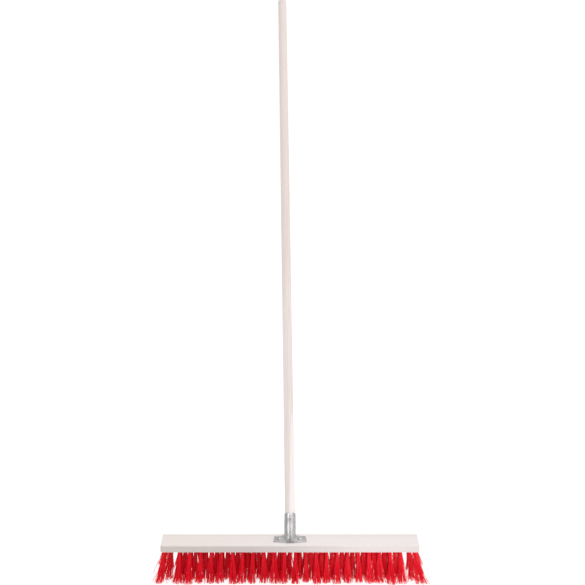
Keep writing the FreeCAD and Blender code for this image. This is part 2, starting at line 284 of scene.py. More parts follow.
@dataclass(frozen=True)
class Wood:
    """Pale, fine-grained hardwood, sanded and unvarnished, with rings, pores and ray flecks, and
    painted light that lightens it towards one end.
    """

    name: str
    pale: Colour
    warm: Colour
    late: Colour  # the late wood of the rings, and the flecks
    turn: Place = UNTURNED  # takes the piece's length to X
    fade: float = 0.25  # painted light: how much lighter the wood is painted towards the lit end of its length, and darker towards the other
    painted_light_over: Span = (-0.3, 0.3)
    drift: Place = (2.2, 14, 14)
    streak: Place = (5, 420, 420)
    streak_depth: Span = (0.35, 1.0)
    fleck: Place = (150, 1300, 1300)
    fleck_edge: Span = (0.66, 0.74)
    ring: float = 7 * MM
    rings_in_unit: float = 20
    pith: Place = (0.0, 0.11, 0.07)
    ring_stretch: Place = (0.09, 1, 1)
    ring_edge: Span = (0.45, 1.0)
    grain_share: float = 0.55
    fleck_share: float = 0.3
    relief_depth: float = 0.12 * MM
    relief_strength: float = 0.35
    gloss: float = 0.35
    roughness: Span = (0.5, 0.68)

    def material(self) -> bpy.types.Material:
        """Puts the wood together, its grain along the turned X axis.

        Returns:
            The wood's material.
        """
        recipe = Recipe(self.name)
        drift = recipe.noise(recipe.place(self.turn, self.drift), Scale=1.0, Detail=2.0)
        sides = recipe.add("SeparateXYZ")
        recipe.join(recipe.place(self.turn), sides, 0)
        # Painted light: lighter towards the end of the piece where more light falls, darker towards
        # the other, added to its random drift in tone.
        painted_light = recipe.remap(sides.outputs["X"], self.painted_light_over, (self.fade, -self.fade))
        drift_and_painted_light = recipe.remap(recipe.combine(Sum.PLUS, drift, painted_light), MIDDLE)
        base = recipe.blend(drift_and_painted_light, self.pale, self.warm)
        rings = self.rings(recipe)
        lengthwise = recipe.place(self.turn, self.streak)
        streaks = recipe.noise(lengthwise, Scale=1.0, Detail=3.0, Roughness=0.6)
        grain = recipe.combine(Sum.TIMES, rings, recipe.remap(streaks, MIDDLE, self.streak_depth))
        base = recipe.blend(recipe.combine(Sum.TIMES, grain, self.grain_share), base, self.late)
        flecks = self.flecks(recipe)
        base = recipe.blend(recipe.combine(Sum.TIMES, flecks, self.fleck_share), base, self.late)
        recipe.surface(base, recipe.remap(streaks, MIDDLE, self.roughness))
        height = recipe.combine(Sum.MINUS, streaks, flecks)
        recipe.relief(height, self.relief_depth, self.relief_strength)
        recipe.constant(Specular_IOR_Level=self.gloss)
        return recipe.material

    def rings(self, recipe: Recipe) -> Value:
        """Growth rings round a far pith, wavering along the grain.

        Args:
            recipe: The wood's recipe.

        Returns:
            The rings' value, 1 in the late wood.
        """
        node = recipe.add(
            "TexWave",
            wave_type="RINGS",
            rings_direction="X",
            wave_profile="SAW",
            Scale=1 / self.ring / self.rings_in_unit,
            Distortion=5.0,
            Detail=2.0,
            Detail_Scale=0.6,
        )
        place = recipe.add("Mapping", Location=self.pith, Scale=self.ring_stretch)
        recipe.join(recipe.place(self.turn), place, "Vector")
        recipe.join(place.outputs[0], node, "Vector")
        return recipe.remap(node.outputs["Fac"], self.ring_edge)

    def flecks(self, recipe: Recipe) -> Value:
        """Short dark dashes along the grain."""
        dashes = recipe.noise(recipe.place(self.turn, self.fleck), Scale=1.0, Detail=1.0)
        return recipe.remap(dashes, self.fleck_edge)


@dataclass(frozen=True)
class Galvanised:
    """Zinc-coated pressed sheet: soft spangle, a milky bloom and fine draw marks, with painted
    shadow beside each screw and painted shade round the tube's front foot.
    """

    name: str
    bright: Colour
    dull: Colour
    edge: Colour
    painted_foot_shade: Colour  # colour of the painted shade round the tube's front foot
    painted_foot_shade_at: Place
    painted_screw_shadow: Colour  # colour of the painted shadow at the front and left of each screw head
    screws: tuple[Place, ...]
    painted_foot_shade_radii: Span = (6 * MM, 14 * MM)
    painted_foot_shade_share: float = 0.8
    foot_patch_roughness: float = 0.15
    painted_screw_shadow_shift: float = 1.2 * MM
    painted_screw_shadow_radii: Span = (3.8 * MM, 5.4 * MM)
    painted_screw_shadow_share: float = 0.9
    boss_radii: Span = (4.2 * MM, 6.8 * MM)
    boss_height: float = 0.35 * MM
    spangle: float = 3.0 * MM
    spangle_share: float = 0.4
    patchiness: Span = (0.45, 1.0)
    along_tube: Place = (0.75, 0.0, 0.0)
    draw_marks: Place = (1800, 1800, 60)
    pit_share: float = 0.6
    relief_depth: float = 0.02 * MM
    relief_strength: float = 0.2
    metal: float = 0.85
    roughness: Span = (0.36, 0.5)

    def material(self) -> bpy.types.Material:
        """Puts the sheet's finish together.

        Returns:
            The sheet's material.
        """
        recipe = Recipe(self.name)
        place = recipe.place()
        crystals = recipe.add("TexVoronoi", Scale=1 / self.spangle, Randomness=1.0)
        recipe.join(place, crystals, "Vector")
        facet = recipe.add("RGBToBW")
        recipe.join(crystals.outputs["Color"], facet, 0)
        bloom = recipe.noise(place, Scale=45.0, Detail=4.0, Roughness=0.6)
        spangles = recipe.combine(Sum.TIMES, facet.outputs[0], self.spangle_share)
        patchy = recipe.combine(Sum.PLUS, spangles, bloom)
        base = recipe.blend(recipe.remap(patchy, self.patchiness), self.bright, self.dull)
        # Painted shadow: a dark patch on the front and left of each screw, the side of its domed
        # head away from the light; each screw also gets a raised boss.
        for screw in self.screws:
            corner = (screw[0] - self.painted_screw_shadow_shift, screw[1] - self.painted_screw_shadow_shift, screw[2])
            painted_screw_shadow = recipe.patch(place, corner, self.painted_screw_shadow_radii)
            screw_shadowed = recipe.combine(Sum.TIMES, painted_screw_shadow, self.painted_screw_shadow_share)
            base = recipe.blend(screw_shadowed, base, self.painted_screw_shadow)
            recipe.relief(recipe.patch(place, screw, self.boss_radii), self.boss_height, 1.0)
        # Painted shade: a dark patch round the tube's front foot; the sheet is also rougher there.
        painted_foot_shade = recipe.patch(place, self.painted_foot_shade_at, self.painted_foot_shade_radii)
        base = recipe.blend(recipe.combine(Sum.TIMES, painted_foot_shade, self.painted_foot_shade_share), base, self.painted_foot_shade)
        satin = recipe.remap(patchy, self.patchiness, self.roughness)
        rough = recipe.combine(Sum.TIMES, painted_foot_shade, self.foot_patch_roughness)
        recipe.surface(base, recipe.combine(Sum.PLUS, satin, rough))
        marks = recipe.noise(recipe.place(self.along_tube, self.draw_marks), Scale=1.0, Detail=2.0)
        pits = recipe.noise(place, Scale=900.0, Detail=2.0)
        shallow = recipe.combine(Sum.TIMES, pits, self.pit_share)
        height = recipe.combine(Sum.PLUS, marks, shallow)
        recipe.relief(height, self.relief_depth, self.relief_strength)
        recipe.constant(Metallic=self.metal, Specular_Tint=(*self.edge, 1.0))
        return recipe.material


@dataclass(frozen=True)
class Plated:
    """Bright metal for screws and wires: turned or drawn, with light scuffs."""

    name: str
    bright: Colour
    dull: Colour
    roughness: Span
    scuffs: Span = (0.35, 0.7)
    relief_depth: float = 0.02 * MM
    relief_strength: float = 0.25

    def material(self) -> bpy.types.Material:
        """Puts the metal together.

        Returns:
            The metal's material.
        """
        recipe = Recipe(self.name)
        scuffs = recipe.noise(recipe.place(), Scale=700.0, Detail=4.0, Roughness=0.7)
        base = recipe.blend(recipe.remap(scuffs, self.scuffs), self.bright, self.dull)
        recipe.surface(base, recipe.remap(scuffs, self.scuffs, self.roughness))
        recipe.relief(scuffs, self.relief_depth, self.relief_strength)
        recipe.constant(Metallic=1.0)
        return recipe.material


@dataclass(frozen=True)
class Filaments:
    """Extruded plastic: glossy along each filament, and a little different from one to the next."""

    name: str
    deep: Colour
    bright: Colour
    scuffed: Colour  # towards the cut ends
    mottle: Place = (500, 500, 110)
    mottle_share: float = 0.4
    shade_share: float = 0.8
    tone: Span = (0.15, 1.0)
    worn_over: Span = (0.8, 1.0)
    worn_share: float = 0.6
    relief_depth: float = 0.05 * MM
    relief_strength: float = 0.3
    roughness: Span = (0.24, 0.42)

    def material(self) -> bpy.types.Material:
        """Puts the plastic together from each filament's shade and the way along it.

        Returns:
            The filaments' material.
        """
        recipe = Recipe(self.name)
        shade = recipe.add("Attribute", attribute_name=SHADE).outputs["Fac"]
        along = recipe.add("Attribute", attribute_name=ALONG).outputs["Fac"]
        mottle = recipe.noise(recipe.place(stretch=self.mottle), Scale=1.0, Detail=3.0)
        shading = recipe.combine(Sum.TIMES, shade, self.shade_share)
        mottling = recipe.combine(Sum.TIMES, mottle, self.mottle_share)
        tone = recipe.remap(recipe.combine(Sum.PLUS, shading, mottling), self.tone)
        base = recipe.blend(tone, self.deep, self.bright)
        worn = recipe.combine(Sum.TIMES, recipe.remap(along, self.worn_over), mottle)
        base = recipe.blend(recipe.combine(Sum.TIMES, worn, self.worn_share), base, self.scuffed)
        recipe.surface(base, recipe.remap(mottle, MIDDLE, self.roughness))
        recipe.relief(mottle, self.relief_depth, self.relief_strength)
        recipe.constant(
            Specular_IOR_Level=0.26,
            Subsurface_Weight=0.2,
            Subsurface_Radius=(1.0, 0.15, 0.1),
            Subsurface_Scale=1.0 * MM,
        )
        return recipe.material


# ---------- Mesh helpers ----------
def finished(name: str, mesh: bmesh.types.BMesh) -> bpy.types.Object:
    """Turns a bmesh into an object in the scene and frees it.

    Args:
        name: The piece's name.
        mesh: The shape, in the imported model's frame.

    Returns:
        The object, at the origin.
    """
    data = bpy.data.meshes.new(name)
    mesh.to_mesh(data)
    mesh.free()
    piece = bpy.data.objects.new(name, data)
    bpy.context.scene.collection.objects.link(piece)
    return piece


def dress(piece: bpy.types.Object, finish: bpy.types.Material) -> None:
    """Gives a piece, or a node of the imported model, one material all over."""
    piece.data.materials.clear()
    piece.data.materials.append(finish)


def shade_smooth(mesh: bmesh.types.BMesh, sharp: float) -> None:
    """Shades faces smooth, except across edges that turn by more than an angle.

    Args:
        mesh: The shape.
        sharp: The angle, in radians.
    """
    for face in mesh.faces:
        face.smooth = True
    for edge in mesh.edges:
        edge.smooth = len(edge.link_faces) != 2 or edge.calc_face_angle(0.0) < sharp


def lathe(profile: list[Span], steps: int) -> bmesh.types.BMesh:
    """Turns a solid about Z.

    Args:
        profile: Points (radius, height) from its foot to its top, which are both on the axis.
        steps: Faces round it.

    Returns:
        The solid.
    """
    mesh = bmesh.new()
    corners = [mesh.verts.new((radius, 0, height)) for radius, height in profile]
    edges = [mesh.edges.new(pair) for pair in zip(corners, corners[1:])]
    bmesh.ops.spin(
        mesh,
        geom=corners + edges,
        cent=(0, 0, 0),
        axis=UP,
        angle=TURN,
        steps=steps,
        use_merge=True,
    )
    bmesh.ops.remove_doubles(mesh, verts=mesh.verts, dist=0.001 * MM)
    bmesh.ops.recalc_face_normals(mesh, faces=mesh.faces)
    return mesh


def scattered(chance: random.Random, reach: float) -> Vector:
    """A level step in any direction, mostly shorter than a reach."""
    return Vector((chance.gauss(0, reach), chance.gauss(0, reach), 0))


def level(angle: float) -> Vector:
    """The level direction at an angle from +X."""
    return Vector((math.cos(angle), math.sin(angle), 0))


def disc(count: int) -> Iterator[Span]:
    """Points spread evenly over a unit disc, in a sunflower's pattern.

    Args:
        count: How many.

    Yields:
        The radius and the angle of each point.
    """
    golden = math.pi * (3 - math.sqrt(5))
    for index in range(count):
        yield math.sqrt((index + 0.5) / count), index * golden


# ---------- Bristles ----------
@dataclass
class Filament:
    """One filament, from its hole in the block to its cut end."""

    root: Vector
    tip: Vector
    bow: Vector
    wave: Vector
    waves: float
    phase: float
    radius: float
    shade: float

    def point(self, share: float) -> Vector:
        """The filament's middle, part of the way along it.

        Args:
            share: How far along, from 0 at the root to 1 at the tip.

        Returns:
            The point.
        """
        straight = self.root.lerp(self.tip, share)
        bowed = straight + self.bow * math.sin(math.pi * share)
        return bowed + self.wave * share * math.sin(TURN * self.waves * share + self.phase)

    def surface(self, place: Vector) -> Vector:
        """Where a point of the straight unit pattern goes.

        Args:
            place: A point of the pattern, whose Z runs from 0 to 1.

        Returns:
            The point on this filament.
        """
        step = 0.02
        centre = self.point(place.z)
        way = (self.point(place.z + step) - self.point(place.z - step)).normalized()
        side = way.orthogonal().normalized()
        across = way.cross(side)
        return centre + (side * place.x + across * place.y) * self.radius


@dataclass
class Tuft:
    """One tuft's plan, which its filaments follow."""

    hole: Vector
    lean: Vector
    turn: float
    fan: float
    clumps: list[Vector]
    tone: float
    strays: float  # -1 or 1 where some filaments stray left or right past the row's end


@dataclass(frozen=True)
class Looseness:
    """How far hand-filled tufts and cut filaments stray from their plan."""

    lean_along: float = 0.03
    lean_across: float = 0.04
    fan: Span = (0.8, 1.12)
    clump_turn: float = 0.3
    clump_reach: Span = (0.35, 0.8)
    clump_pull: Span = (0.05, 0.45)
    tone: Span = (-0.1, 0.2)
    tip: float = 0.5 * MM
    wild: float = 0.05  # the share of filaments that leave their tuft
    wild_reach: Span = (1.3, 2.0)
    stray: Span = (4 * MM, 18 * MM)
    cut: float = 1.0 * MM
    cut_most: float = 4.0 * MM
    bow: float = 0.6 * MM
    wave: float = 0.35 * MM
    waves: Span = (0.8, 2.2)
    thickness: Span = (0.85, 1.15)
    shade: Span = (1.1, 0.9)  # the two shapes of a beta distribution


@dataclass
class Bristles:
    """Five rows of filament tufts, from the block's underside down to the floor, each row one piece.
    """

    pitch: float = 24.4 * MM
    outer_reach: float = 290 * MM
    inner_reach: float = 276 * MM
    row_pitch: float = 11 * MM
    row_splay: tuple[float, ...] = (0.0, math.radians(12), math.radians(17))
    end_splay: float = math.radians(11)
    end_splay_fade: float = 34 * MM  # the splay halves over this distance inwards
    rows: int = 5
    filaments: int = 44
    filament_radius: float = 0.66 * MM
    bundle_radius: float = 3.35 * MM
    root_rise: float = 0.9 * MM  # how far a filament starts inside its hole
    tip_radius: float = 11.2 * MM
    tip_gap: float = 0.15 * MM  # floor to the longest filaments
    waist: float = -2.2 * MM  # how far a tuft's sides bow out, here inwards
    fan_along: float = 1.1
    fan_across: float = 0.75
    clumps: int = 4
    end_fan: float = 0.22
    end_strays: float = 0.12
    end_strays_within: float = 16 * MM
    bend_above: float = 1 * MM  # where a bend would start, this far inside the block
    bend_end: float = 8 * MM  # and where it would end, at this height over the floor
    sides: int = 6
    thinning: float = 0.82
    rings: tuple[float, ...] = (0.1, 0.24, 0.4, 0.56, 0.72, 0.86)
    crease: float = math.radians(70)
    loose: Looseness = Looseness()
    seed: int = 7

    def build(self, finish: bpy.types.Material) -> list[bpy.types.Object]:
        """Builds every row.

        Args:
            finish: The filaments' material.

        Returns:
            The rows' pieces.
        """
        chance = random.Random(self.seed)
        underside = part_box("block")[0].z
        pattern = self.pattern()
        pieces = []
        for row in range(1, self.rows + 1):
            piece = self.build_row(row, underside, pattern, chance)
            dress(piece, finish)
            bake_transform(piece)
            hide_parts(f"bristle_row_{row}")
            pieces.append(piece)
        bpy.data.meshes.remove(pattern)
        return pieces

    def pattern(self) -> bpy.types.Mesh:
        """Makes a straight filament of unit length and radius, cut into rings so that it can bend.

        Returns:
            The filament.
        """
        mesh = bmesh.new()
        bmesh.ops.create_cone(
            mesh,
            cap_ends=True,
            cap_tris=False,
            segments=self.sides,
            radius1=1.0,
            radius2=self.thinning,
            depth=1.0,
        )
        bmesh.ops.translate(mesh, verts=mesh.verts, vec=UP / 2)
        for height in self.rings:
            everything = [*mesh.verts, *mesh.edges, *mesh.faces]
            bmesh.ops.bisect_plane(mesh, geom=everything, plane_co=(0, 0, height), plane_no=UP)
        shade_smooth(mesh, self.crease)
        data = bpy.data.meshes.new("filament_pattern")
        mesh.to_mesh(data)
        mesh.free()
        return data

    def build_row(
        self, row: int, underside: float, pattern: bpy.types.Mesh, chance: random.Random
    ) -> bpy.types.Object:
        """Builds all the tufts of a row as one piece.

        Args:
            row: The row's number, from the front.
            underside: Height of the block's underside.
            pattern: The straight filament.
            chance: The source of random numbers.

        Returns:
            The row's piece.
        """
        mesh = bmesh.new()
        shade = mesh.verts.layers.float.new(SHADE)
        along = mesh.verts.layers.float.new(ALONG)
        step = row - (self.rows + 1) // 2
        for x in self.places(step):
            tuft = self.tuft(x, step, underside, chance)
            for radius, angle in disc(self.filaments):
                filament = self.filament(tuft, level(angle + tuft.turn) * radius, chance)
                first = len(mesh.verts)
                mesh.from_mesh(pattern)
                mesh.verts.ensure_lookup_table()
                for vertex in mesh.verts[first:]:
                    vertex[shade] = filament.shade
                    vertex[along] = vertex.co.z
                    vertex.co = filament.surface(vertex.co)
        return finished(f"bristle_tufts_row_{row}", mesh)

    def places(self, step: int) -> list[float]:
        """Where a row's tufts are.

        Args:
            step: The row, counted from the middle one.

        Returns:
            The x of each tuft, from left to right.
        """
        even = step % 2 == 0
        reach, first = (
            (self.outer_reach, self.pitch / 2) if even else (self.inner_reach, self.pitch)
        )
        count = int((reach - self.pitch - first) / self.pitch) + 1
        right = [first + self.pitch * index for index in range(count)] + [reach]
        return [-x for x in reversed(right)] + ([] if even else [0.0]) + right

    def tuft(self, x: float, step: int, underside: float, chance: random.Random) -> Tuft:
        """Plans one tuft.

        Args:
            x: The tuft's place along the block.
            step: Its row, counted from the middle one.
            underside: Height of the block's underside.
            chance: The source of random numbers.

        Returns:
            The tuft.
        """
        loose = self.loose
        inwards = self.outer_reach - abs(x)
        near_end = 0.5 ** (inwards / self.end_splay_fade)
        sideways = math.copysign(math.tan(self.end_splay * near_end), x)
        outwards = math.copysign(math.tan(self.row_splay[abs(step)]), step)
        lean = Vector((
            sideways + chance.gauss(0, loose.lean_along),
            outwards + chance.gauss(0, loose.lean_across),
            -1.0,
        ))
        turn = chance.uniform(0, TURN)
        fan = self.tip_radius * chance.uniform(*loose.fan) * (1 + self.end_fan * near_end)
        clumps = []
        for index in range(self.clumps):
            part = index + chance.uniform(-loose.clump_turn, loose.clump_turn)
            reach = fan * chance.uniform(*loose.clump_reach)
            clumps.append(level(turn + TURN * part / self.clumps) * reach)
        frays = inwards < self.end_strays_within and step < 0
        return Tuft(
            hole=Vector((x, step * self.row_pitch, underside)),
            lean=lean,
            turn=turn,
            fan=fan,
            clumps=clumps,
            tone=chance.uniform(*loose.tone),
            strays=math.copysign(1, x) if frays else 0.0,
        )

    def filament(self, tuft: Tuft, across: Vector, chance: random.Random) -> Filament:
        """Makes one filament of a tuft.

        Args:
            tuft: The tuft.
            across: The filament's place in the bundle, as a part of the bundle's radius.
            chance: The source of random numbers.

        Returns:
            The filament.
        """
        loose = self.loose
        root = tuft.hole + across * self.bundle_radius + UP * self.root_rise
        spot = across * tuft.fan * Vector((self.fan_along, self.fan_across, 0))
        clump = min(tuft.clumps, key=lambda place: (place - spot).length)
        spot = spot.lerp(clump, chance.uniform(*loose.clump_pull)) + scattered(chance, loose.tip)
        if chance.random() < loose.wild:
            spot *= chance.uniform(*loose.wild_reach)
        stray = Vector()
        if across.x * tuft.strays > 0 and chance.random() < self.end_strays:
            stray.x = chance.uniform(*loose.stray) * tuft.strays
        short = self.tip_gap + min(abs(chance.gauss(0, loose.cut)), loose.cut_most)
        return Filament(
            root=root,
            tip=tuft.hole + tuft.lean * (tuft.hole.z - short) + spot + stray,
            bow=scattered(chance, loose.bow) + across * self.waist - stray / 3,
            wave=scattered(chance, loose.wave),
            waves=chance.uniform(*loose.waves),
            phase=chance.uniform(0, TURN),
            radius=self.filament_radius * chance.uniform(*loose.thickness),
            shade=min(1.0, max(0.0, tuft.tone + chance.betavariate(*loose.shade))),
        )


# ---------- Socket ----------
@dataclass
class Socket:
    """The pressed socket: a leaning tube, seamed down its front, flaring into a winged plate."""

    tilt: float = math.radians(43)
    foot_y: float = 5.5 * MM
    sheet: float = 1.2 * MM
    outer_radius: float = 13.35 * MM
    length: float = 59 * MM
    seam: float = 0.45 * MM  # half the gap between the seam's lips
    seam_groove: float = 0.5 * MM
    seam_lip: float = 1.1 * MM
    notch: float = 0.9 * MM
    notch_height: float = 7 * MM
    screw_drop: float = 15.5 * MM
    screw_hole: float = 2.05 * MM
    nail_drop: float = 40 * MM
    nail_hole: float = 1.5 * MM
    flare_up: float = 3.6 * MM
    flare_out: float = 1.9 * MM
    side_flare_up: float = 11 * MM
    side_flare_out: float = 3.4 * MM
    columns: int = 84
    seam_crowding: float = 0.8  # how much narrower the columns get at the seam
    rows: int = 140
    flare_share: float = 0.12  # the share of the rows that are in the flare
    wing_reach: float = 38.8 * MM
    wing_reach_back: float = 36.4 * MM
    wing_front: float = -12 * MM
    wing_back: float = 16.2 * MM
    bow_reach: float = 28 * MM
    bow_depth: float = 4.9 * MM
    bow_steps: int = 12
    heel_reach: float = 15.5 * MM
    heel_reach_back: float = 11.5 * MM
    heel_back: float = 27 * MM
    corner: float = 2.5 * MM
    corner_steps: int = 4
    spare_hole_x: float = 34 * MM
    spare_hole_y: float = 12.8 * MM
    spare_hole: float = 2.1 * MM
    spare_hole_sides: int = 24
    weld: float = 0.02 * MM
    crease: float = math.radians(40)
    deburr: float = 0.28 * MM
    deburr_steps: int = 2
    deburr_angle: float = math.radians(50)
    top: float = field(default=0.0, init=False)
    foot: Vector = field(default_factory=Vector, init=False)
    up: Vector = field(default_factory=Vector, init=False)
    front: Vector = field(default_factory=Vector, init=False)

    def __post_init__(self) -> None:
        """Works out the plate's height and the tube's own directions."""
        block_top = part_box("block")[1].z
        self.top = block_top + self.sheet
        self.foot = Vector((0, self.foot_y, block_top))
        self.up = Vector((0, math.sin(self.tilt), math.cos(self.tilt)))
        self.front = Vector((0, -math.cos(self.tilt), math.sin(self.tilt)))

    def build(self, finish: bpy.types.Material) -> bpy.types.Object:
        """Builds the socket's outer skin and gives it the sheet's thickness.

        Args:
            finish: The sheet's material.

        Returns:
            The socket.
        """
        mesh = bmesh.new()
        bmesh.ops.create_grid(mesh, x_segments=self.columns, y_segments=self.rows, size=0.5)
        for vertex in mesh.verts:
            vertex.co = self.skin(vertex.co.x + 0.5, vertex.co.y + 0.5)
        bmesh.ops.remove_doubles(mesh, verts=mesh.verts, dist=self.weld)
        ring = [edge for edge in mesh.edges if edge.is_boundary and self.on_plate(edge)]
        bmesh.ops.triangle_fill(
            mesh,
            use_beauty=True,
            use_dissolve=False,
            edges=ring + self.outline(mesh) + self.spare_holes(mesh),
            normal=UP,
        )
        bmesh.ops.recalc_face_normals(mesh, faces=mesh.faces)
        if next(face for face in mesh.faces if self.on_plate(face)).normal.z < 0:
            bmesh.ops.reverse_faces(mesh, faces=mesh.faces)
        shade_smooth(mesh, self.crease)
        piece = finished("pressed_socket", mesh)
        thickness = piece.modifiers.new("sheet", "SOLIDIFY")
        thickness.thickness = self.sheet
        thickness.offset = -1.0
        edges = piece.modifiers.new("deburred_edges", "BEVEL")
        edges.width = self.deburr
        edges.segments = self.deburr_steps
        edges.limit_method = "ANGLE"
        edges.angle_limit = self.deburr_angle
        dress(piece, finish)
        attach(piece, "head")
        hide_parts("handle_socket")
        return piece

    def on_plate(self, item: bmesh.types.BMEdge | bmesh.types.BMFace) -> bool:
        """Whether all of an edge or face lies in the plate's top."""
        return all(abs(vertex.co.z - self.top) < 0.01 * MM for vertex in item.verts)

    def skin(self, turn: float, drop: float) -> Vector:
        """A point of the tube's outer skin.

        Args:
            turn: The way round the tube, 0 to 1, from one lip of the seam to the other.
            drop: The way down it, 0 at the rim and 1 where the flare has turned into the plate.

        Returns:
            The point.
        """
        plain = TURN * turn - self.seam_crowding * math.sin(TURN * turn)
        sideways = math.sin(plain) ** 2
        up = self.flare_up + (self.side_flare_up - self.flare_up) * sideways
        out = self.flare_out + (self.side_flare_out - self.flare_out) * sideways
        flare_top = self.junction(plain) + up
        straight = 1 - self.flare_share
        if drop <= straight:
            along = self.length + (flare_top - self.length) * drop / straight
            return self.at(self.lip(plain, along), along)
        share = (drop - straight) / self.flare_share
        squeezed = self.lip(plain, flare_top)
        closing = squeezed + (plain - squeezed) * share**2
        head = self.at(closing, flare_top)
        knee = self.at(closing, self.junction(closing))
        centre = self.foot + self.up * (self.sheet / math.cos(self.tilt))
        foot = knee + (knee - centre).normalized() * out
        point = head.lerp(knee, share).lerp(knee.lerp(foot, share), share)
        if share >= 1:
            point.z = self.top
        return point

    def at(self, turn: float, along: float) -> Vector:
        """A point on the tube's outside, which sinks into a groove at the seam.

        Args:
            turn: The angle round the tube, from its front.
            along: The height along the tube.

        Returns:
            The point.
        """
        radial = self.front * math.cos(turn) + Vector((math.sin(turn), 0, 0))
        from_seam = min(turn, TURN - turn) * self.outer_radius / self.seam_lip
        radius = self.outer_radius - self.seam_groove * math.exp(-from_seam**2)
        return self.foot + radial * radius + self.up * along

    def junction(self, turn: float) -> float:
        """How far along the tube its outside meets the plate's top, at an angle from the front."""
        rise = self.sheet - self.outer_radius * math.cos(turn) * math.sin(self.tilt)
        return rise / math.cos(self.tilt)

    def lip(self, turn: float, along: float) -> float:
        """Squeezes an angle round the tube, to leave the seam's gap, notch and two holes open.

        Args:
            turn: The angle round a closed tube.
            along: The height along the tube.

        Returns:
            The angle round the tube with its gap.
        """
        above_foot = max(0.0, along - self.junction(0.0))
        gap = self.seam + self.notch * max(0.0, 1 - above_foot / self.notch_height)
        for drop, radius in ((self.screw_drop, self.screw_hole), (self.nail_drop, self.nail_hole)):
            away = self.length - drop - along
            if abs(away) < radius:
                gap = max(gap, math.sqrt(radius**2 - away**2))
        share = gap / self.outer_radius
        return share + turn * (TURN - 2 * share) / TURN

    def outline(self, mesh: bmesh.types.BMesh) -> list[bmesh.types.BMEdge]:
        """Draws the plate's outline, with rounded corners.

        Args:
            mesh: The shape to draw it in.

        Returns:
            The outline's edges.
        """
        bow_radius = (self.bow_reach**2 + self.bow_depth**2) / (2 * self.bow_depth)
        centre_y = self.wing_front - self.bow_depth + bow_radius
        half = math.asin(self.bow_reach / bow_radius)
        angles = [half * (2 * index / self.bow_steps - 1) for index in range(self.bow_steps + 1)]
        bow = [
            (bow_radius * math.sin(angle), centre_y - bow_radius * math.cos(angle))
            for angle in angles
        ]
        right = [
            (self.wing_reach, self.wing_front),
            (self.wing_reach_back, self.wing_back),
            (self.heel_reach, self.wing_back),
            (self.heel_reach_back, self.heel_back),
        ]
        left = [(-x, y) for x, y in reversed(right)]
        points = [mesh.verts.new((x, y, self.top)) for x, y in bow + right + left]
        for pair in zip(points, points[1:] + points[:1]):
            mesh.edges.new(pair)
        bmesh.ops.bevel(
            mesh,
            geom=points[len(bow):],
            offset=self.corner,
            offset_type="OFFSET",
            segments=self.corner_steps,
            profile=0.5,
            affect="VERTICES",
            material=-1,
        )
        return [edge for edge in mesh.edges if edge.is_wire]

    def spare_holes(self, mesh: bmesh.types.BMesh) -> list[bmesh.types.BMEdge]:
        """Draws the two unused screw holes near the plate's rear corners.

        Args:
            mesh: The shape to draw them in.

        Returns:
            The holes' edges.
        """
        edges = []
        for x in (-self.spare_hole_x, self.spare_hole_x):
            circle = bmesh.ops.create_circle(
                mesh,
                cap_ends=False,
                segments=self.spare_hole_sides,
                radius=self.spare_hole,
                matrix=Matrix.Translation((x, self.spare_hole_y, self.top)),
            )
            edges += {edge for vertex in circle["verts"] for edge in vertex.link_edges}
        return edges

    def screw_seats(self) -> tuple[Place, ...]:
        """Where the screws' heads sit on the plate.

        Returns:
            The middle of the foot of each head.
        """
        boxes = [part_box(name) for name in ("plate_screw_left", "plate_screw_right")]
        return tuple(((low.x + high.x) / 2, (low.y + high.y) / 2, self.top) for low, high in boxes)


# ---------- Stick ----------
@dataclass
class Stick:
    """The turned wooden stick, thinner at its foot in the socket and domed at its free end."""

    length: float = 1600 * MM
    radius: float = 12 * MM
    foot_radius: float = 11.25 * MM
    foot_ease: float = 1.2 * MM
    in_socket: float = 47 * MM
    dome: float = 9 * MM
    steps: int = 72
    spans: int = 24
    dome_steps: int = 10
    crease: float = math.radians(35)

    def build(self, finish: bpy.types.Material) -> bpy.types.Object:
        """Turns the stick and leans it in its socket.

        Args:
            finish: The wood.

        Returns:
            The stick.
        """
        mesh = lathe(self.profile(), self.steps)
        shade_smooth(mesh, self.crease)
        mounts = frame["record"]["mounts"]
        shaft = next(mount for mount in mounts if mount["name"] == "handle_shaft")
        direction = Vector(shaft["axis"]).normalized()
        free_half = shaft["dims"]["length_mm"] * MM / 2
        foot = Vector(shaft["pos_m"]) - direction * (free_half + self.in_socket)
        leaning = UP.rotation_difference(direction).to_matrix().to_4x4()
        standing = Matrix.Translation(foot) @ leaning
        bmesh.ops.transform(mesh, verts=mesh.verts, matrix=standing)
        piece = finished("turned_stick", mesh)
        dress(piece, finish)
        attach(piece, "head")
        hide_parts("handle")
        return piece

    def profile(self) -> list[Span]:
        """The stick's outline, from foot to top.

        Returns:
            Points (radius, height).
        """
        shoulder = self.length - self.dome
        foot = [
            (0.0, 0.0),
            (self.foot_radius - self.foot_ease, 0.0),
            (self.foot_radius, self.foot_ease),
        ]
        free = shoulder - self.in_socket
        shaft = [
            (self.radius, self.in_socket + free * index / self.spans)
            for index in range(self.spans + 1)
        ]
        angles = [math.pi / 2 * index / self.dome_steps for index in range(1, self.dome_steps)]
        dome = [
            (self.radius * math.cos(angle), shoulder + self.dome * math.sin(angle))
            for angle in angles
        ]
        return foot + shaft + dome + [(0.0, self.length)]


